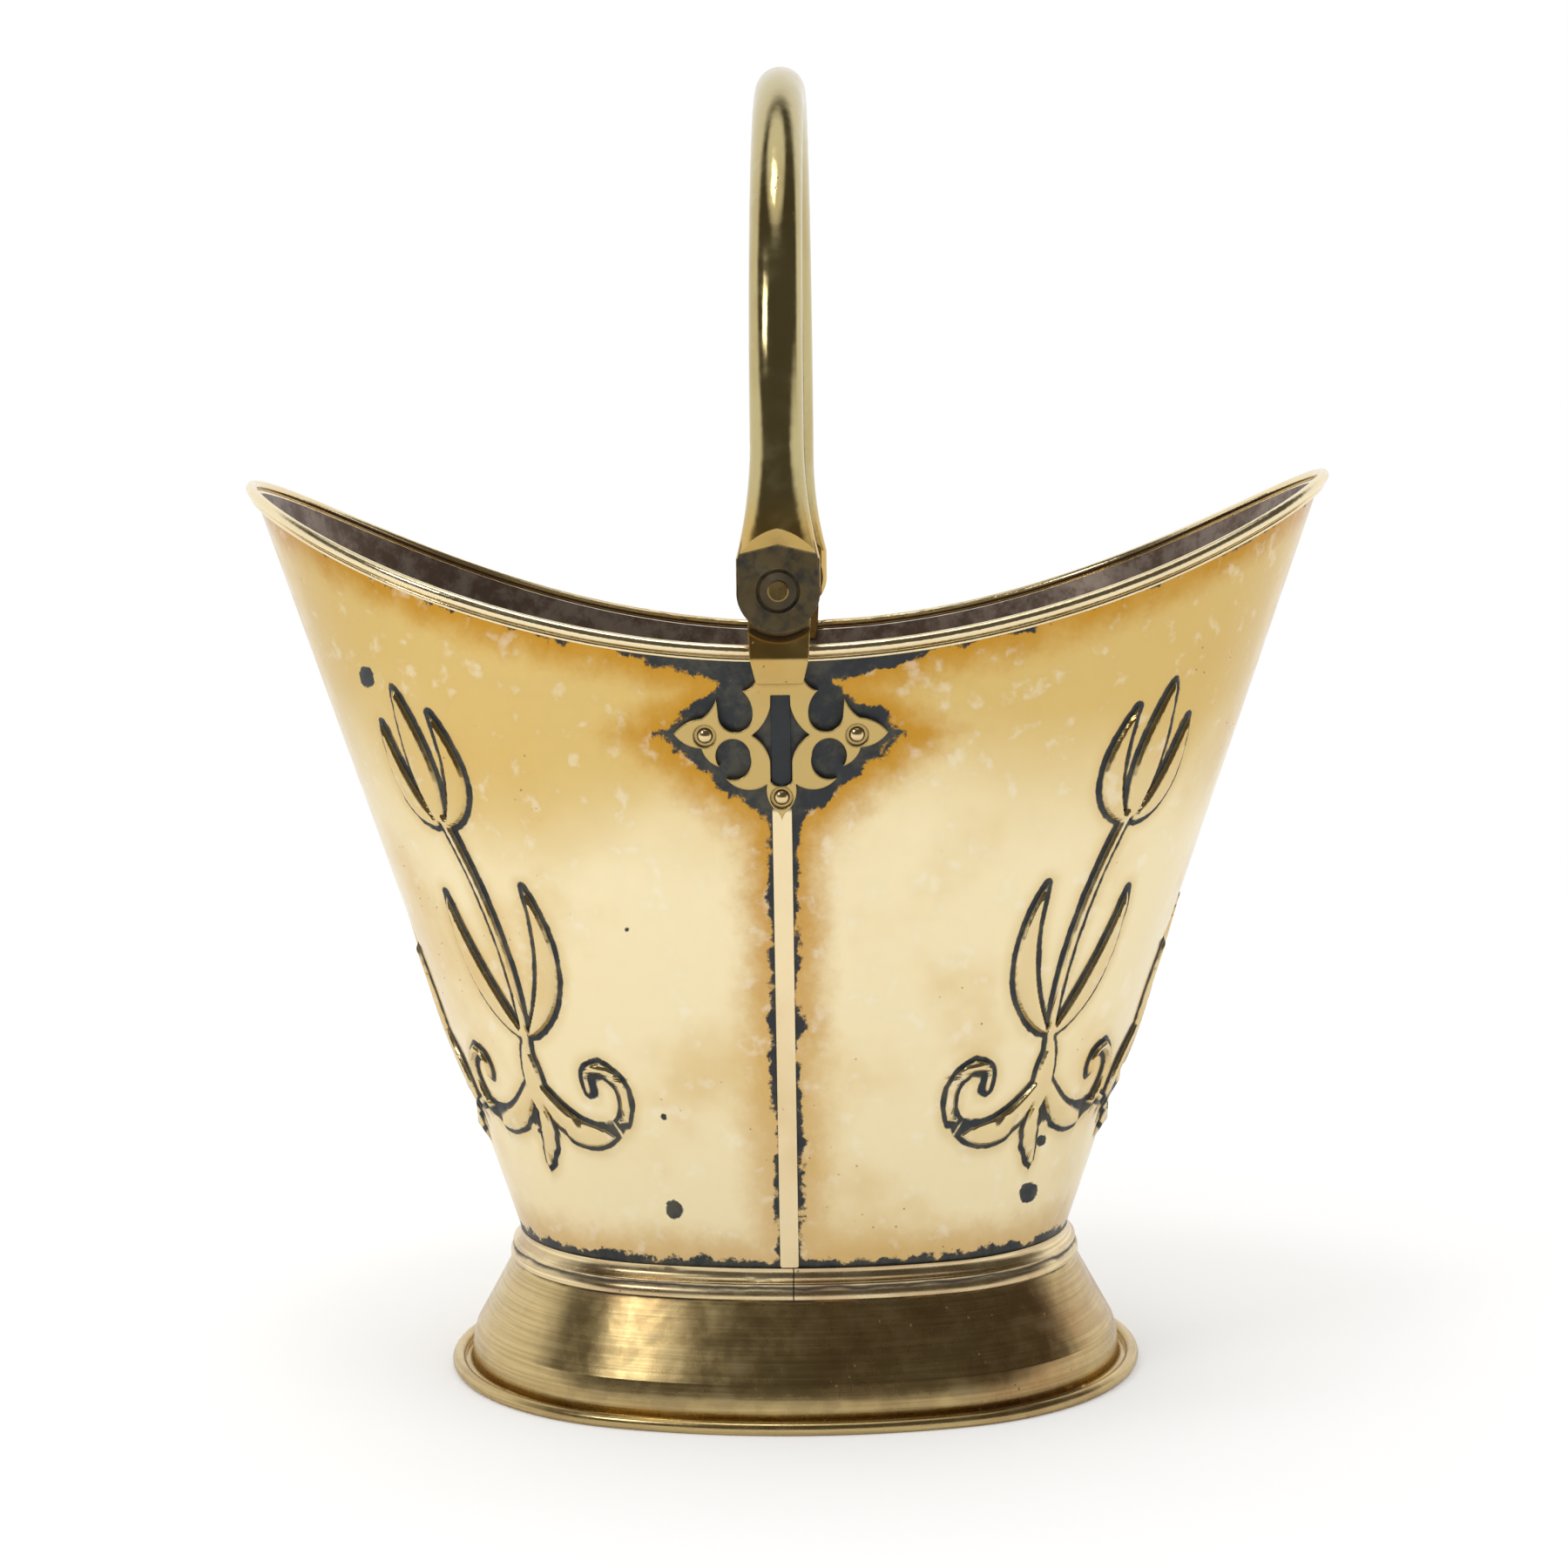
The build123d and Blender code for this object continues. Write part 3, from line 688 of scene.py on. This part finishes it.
def turned(profile, steps):
    """Spin a profile of (radius, height) in millimetres round Z into a closed solid."""
    bm = bmesh.new()
    points = [bm.verts.new((r * mm, 0, z * mm)) for r, z in profile]
    edges = [bm.edges.new(pair) for pair in zip(points, points[1:])]
    bmesh.ops.spin(bm, geom=points + edges, axis=(0, 0, 1), cent=(0, 0, 0),
                   angle=2 * math.pi, steps=steps, use_merge=True, use_duplicate=False)
    bmesh.ops.remove_doubles(bm, verts=bm.verts, dist=0.001 * mm)
    bmesh.ops.recalc_face_normals(bm, faces=bm.faces)
    for face in bm.faces:
        face.smooth = True
    return bm


def wall_matrix(x, height, front):
    """Frame on the front or back wall whose Z points straight out of the sheet."""
    radius, beyond = side_arc(height)
    radius_above, beyond_above = side_arc(height + 1)
    angle = -math.acos(x / radius)
    lean = (radius_above - radius) - abs(math.sin(angle)) * (beyond_above - beyond)
    out = Vector((math.cos(angle), math.sin(angle), -lean)).normalized()
    along = Vector((-math.sin(angle), math.cos(angle), 0))
    side = out.cross(along)
    origin = Vector((x, beyond + radius * math.sin(angle), height)) * mm
    matrix = Matrix((along, side, out)).transposed().to_4x4()
    matrix.translation = origin
    return matrix if front else Matrix.Scale(-1, 4, (0, 1, 0)) @ matrix


# Operators
class BUCKET_OT_body(bpy.types.Operator):
    """Two embossed halves of the body sheet"""
    bl_idname = "bucket.body"
    bl_label = "Body sheets"

    def execute(self, context):
        material = body_brass()
        body_sheet("body_sheet_right", 1, material, "body_right")
        body_sheet("body_sheet_left", -1, material, "body_left")
        return {"FINISHED"}


class BUCKET_OT_rim(bpy.types.Operator):
    """Finish of the rim's roll and bead and of the seam strips"""
    bl_idname = "bucket.rim"
    bl_label = "Rim and seam strips"

    def execute(self, context):
        rim = plain_brass("rim_brass", rim_gold, roughness=0.16, dirt=0.45)
        repaint(rim, "rim_roll_left", "rim_roll_right", "rim_bead_left", "rim_bead_right")
        strip = plain_brass(
            "strip_brass", strip_gold, roughness=0.19, dirt=0.5, edge=0.35 * mm,
            dark_above=strip_dark_above * mm)
        repaint(strip, "seam_strip_front", "seam_strip_back")
        return {"FINISHED"}


class BUCKET_OT_foot(bpy.types.Operator):
    """Finish of the skirt, collar, bottom plate and the wire in the foot"""
    bl_idname = "bucket.foot"
    bl_label = "Foot"

    def execute(self, context):
        skirt = brushed_brass("skirt_brass", finish().brushed, low_grime=37.2, high_grime=60)
        repaint(skirt, "foot_skirt", "foot_wire", "base_plate")
        collar = brushed_brass("collar_brass", collar_gold, low_grime=41.2, high_grime=42.4)
        repaint(collar, "foot_collar")
        return {"FINISHED"}


class BUCKET_OT_brackets(bpy.types.Operator):
    """Finish of the two pierced brackets"""
    bl_idname = "bucket.brackets"
    bl_label = "Brackets"

    def execute(self, context):
        # The brackets get painted shade in their crevices from ambient occlusion, also meant as grime.
        cast = plain_brass(
            "cast_brass", finish().cast, roughness=0.20, dirt=0.8, edge=0.9 * mm, crevice_shade=5 * mm)
        repaint(cast, "bracket_front", "bracket_back")
        return {"FINISHED"}


class BUCKET_OT_rivets(bpy.types.Operator):
    """Six domed rivets"""
    bl_idname = "bucket.rivets"
    bl_label = "Rivets"

    def execute(self, context):
        material = plain_brass("pin_brass", rivet_gold, roughness=0.24, dirt=0.5)
        for end in ("front", "back"):
            for place, (x, height) in rivet_places.items():
                bm = turned(rivet_profile(), rivet_turns)
                bmesh.ops.transform(bm, matrix=wall_matrix(x, height, end == "front"), verts=bm.verts)
                bmesh.ops.recalc_face_normals(bm, faces=bm.faces)
                node = f"rivet_{end}_{place}"
                add_piece(bm, "domed_" + node, material, "bucket", "pin_brass", node)
        return {"FINISHED"}


class BUCKET_OT_pivots(bpy.types.Operator):
    """Finish of the pivot pins and their washers"""
    bl_idname = "bucket.pivots"
    bl_label = "Pivots"

    def execute(self, context):
        pin = plain_brass("pivot_brass", pin_olive, roughness=0.26, dirt=0.5)
        repaint(pin, "pivot_pin_front", "pivot_pin_back")
        washer = plain_brass("washer_brass", washer_grey, roughness=0.32, dirt=0.9)
        repaint(washer, "pivot_washer_front", "pivot_washer_back")
        return {"FINISHED"}


class BUCKET_OT_handle(bpy.types.Operator):
    """Finish of the swing handle"""
    bl_idname = "bucket.handle"
    bl_label = "Handle"

    def execute(self, context):
        repaint(handle_brass(), "handle")
        return {"FINISHED"}


# Stage: places in metres, turns in radians, lens and sensor in millimetres
table_half_size = 1.15
camera_place = Vector((22.0, -950.7, 290.6)) * mm
camera_turn = 0.025
camera_pitch = math.pi / 2 - 0.094
camera_roll = -0.011
camera_lens = 63.47
camera_sensor = 36


def studio_world():
    """White room whose front above the table is dark, as the side a camera stands on is."""
    world = bpy.data.worlds.new("studio")
    nodes = empty_nodes(world)
    coord = nodes.add("ShaderNodeTexCoord").outputs["Generated"]
    axes = nodes.add("ShaderNodeSeparateXYZ", inputs={"Vector": coord})
    x, y, z = axes.outputs
    toward = nodes.minus(y, nodes.times(z, 0.9))
    toward = nodes.minus(toward, nodes.times(x, 0.25))
    facing = nodes.span(toward, 0.0, -0.34)
    sideways = nodes.minus(nodes.math("ABSOLUTE", x), nodes.times(z, 0.45))
    narrow = nodes.span(sideways, 1.0, 0.80)
    low = nodes.span(z, -0.28, -0.18)
    high = nodes.span(z, 0.94, 0.86)
    dark = nodes.times(nodes.times(facing, narrow), nodes.times(low, high))
    room = nodes.blend(dark, white, room_dark)
    path = nodes.add("ShaderNodeLightPath")
    plain = nodes.larger(path.outputs["Is Camera Ray"], path.outputs["Is Diffuse Ray"])
    seen = nodes.blend(plain, room, white)
    background = nodes.add("ShaderNodeBackground", inputs={"Color": seen, "Strength": 1.0})
    out = nodes.add("ShaderNodeOutputWorld")
    nodes.feed(out.inputs["Surface"], background.outputs["Background"])
    bpy.context.scene.world = world


def table_paint():
    """Pale matt white that shows as white to the camera alone."""
    material = bpy.data.materials.new("table_white")
    nodes = empty_nodes(material)
    diffuse = nodes.add("ShaderNodeBsdfDiffuse", inputs={"Color": table_white})
    path = nodes.add("ShaderNodeLightPath")
    lift = nodes.times(path.outputs["Is Camera Ray"], 0.10)
    glow = nodes.add("ShaderNodeEmission", inputs={"Color": white, "Strength": lift})
    both = nodes.add("ShaderNodeAddShader")
    nodes.feed(both.inputs[0], diffuse.outputs["BSDF"])
    nodes.feed(both.inputs[1], glow.outputs["Emission"])
    out = nodes.add("ShaderNodeOutputMaterial")
    nodes.feed(out.inputs["Surface"], both.outputs["Shader"])
    return material


def table_top():
    """Floor under the bucket that keeps its shadow."""
    bm = bmesh.new()
    bmesh.ops.create_grid(bm, x_segments=1, y_segments=1, size=table_half_size)
    mesh = bpy.data.meshes.new("table")
    bm.to_mesh(mesh)
    bm.free()
    mesh.materials.append(table_paint())
    table = bpy.data.objects.new("table", mesh)
    bpy.context.scene.collection.objects.link(table)


def soft_lamp(name, place, aim, size, watts):
    lamp = bpy.data.lights.new(name, "AREA")
    lamp.shape = "SQUARE"
    lamp.size = size
    lamp.energy = watts
    holder = bpy.data.objects.new(name, lamp)
    holder.location = place
    holder.rotation_euler = (Vector(aim) - Vector(place)).to_track_quat("-Z", "Y").to_euler()
    bpy.context.scene.collection.objects.link(holder)


def photo_camera():
    """Camera where the photograph was taken from."""
    data = bpy.data.cameras.new("photo_camera")
    data.lens = camera_lens
    data.sensor_width = camera_sensor
    camera = bpy.data.objects.new("photo_camera", data)
    turn = Matrix.Rotation(camera_turn, 4, "Z")
    pitch = Matrix.Rotation(camera_pitch, 4, "X")
    roll = Matrix.Rotation(camera_roll, 4, "Z")
    camera.matrix_world = Matrix.Translation(camera_place) @ turn @ pitch @ roll
    bpy.context.scene.collection.objects.link(camera)
    bpy.context.scene.camera = camera


class BUCKET_OT_stage(bpy.types.Operator):
    """White table, studio light and camera"""
    bl_idname = "bucket.stage"
    bl_label = "Stage"

    def execute(self, context):
        studio_world()
        table_top()
        soft_lamp("key_lamp", place=(-0.75, -0.75, 0.95), aim=(0, 0, 0.25), size=0.35, watts=2.0)
        soft_lamp("top_lamp", place=(-0.12, -0.25, 1.60), aim=(0, 0, 0.35), size=0.30, watts=1.5)
        photo_camera()
        context.scene.view_settings.view_transform = "Standard"
        return {"FINISHED"}


class BUCKET_PT_pieces(bpy.types.Panel):
    """Lists the bucket's settings and its builders"""
    bl_label = "Log bucket"
    bl_space_type = "VIEW_3D"
    bl_region_type = "UI"
    bl_category = "Log bucket"

    def draw(self, context):
        for group in (context.scene.bucket_sizes, context.scene.bucket_finish):
            for name in group.bl_rna.properties.keys():
                if name not in ("rna_type", "name"):
                    self.layout.prop(group, name)
        for operator in operators:
            self.layout.operator(operator.bl_idname)


operators = (
    BUCKET_OT_body, BUCKET_OT_rim, BUCKET_OT_foot, BUCKET_OT_brackets, BUCKET_OT_rivets,
    BUCKET_OT_pivots, BUCKET_OT_handle, BUCKET_OT_stage,
)
classes = (BucketSizes, BucketFinish, *operators, BUCKET_PT_pieces)


def register():
    for cls in classes:
        bpy.utils.register_class(cls)
    bpy.types.Scene.bucket_sizes = bpy.props.PointerProperty(type=BucketSizes)
    bpy.types.Scene.bucket_finish = bpy.props.PointerProperty(type=BucketFinish)


def unregister():
    del bpy.types.Scene.bucket_sizes
    del bpy.types.Scene.bucket_finish
    for cls in reversed(classes):
        bpy.utils.unregister_class(cls)


def main():
    register()
    bpy.ops.bucket.body()
    bpy.ops.bucket.rim()
    bpy.ops.bucket.foot()
    bpy.ops.bucket.brackets()
    bpy.ops.bucket.rivets()
    bpy.ops.bucket.pivots()
    bpy.ops.bucket.handle()
    bpy.ops.bucket.stage()


if __name__ == "__main__":
    main()
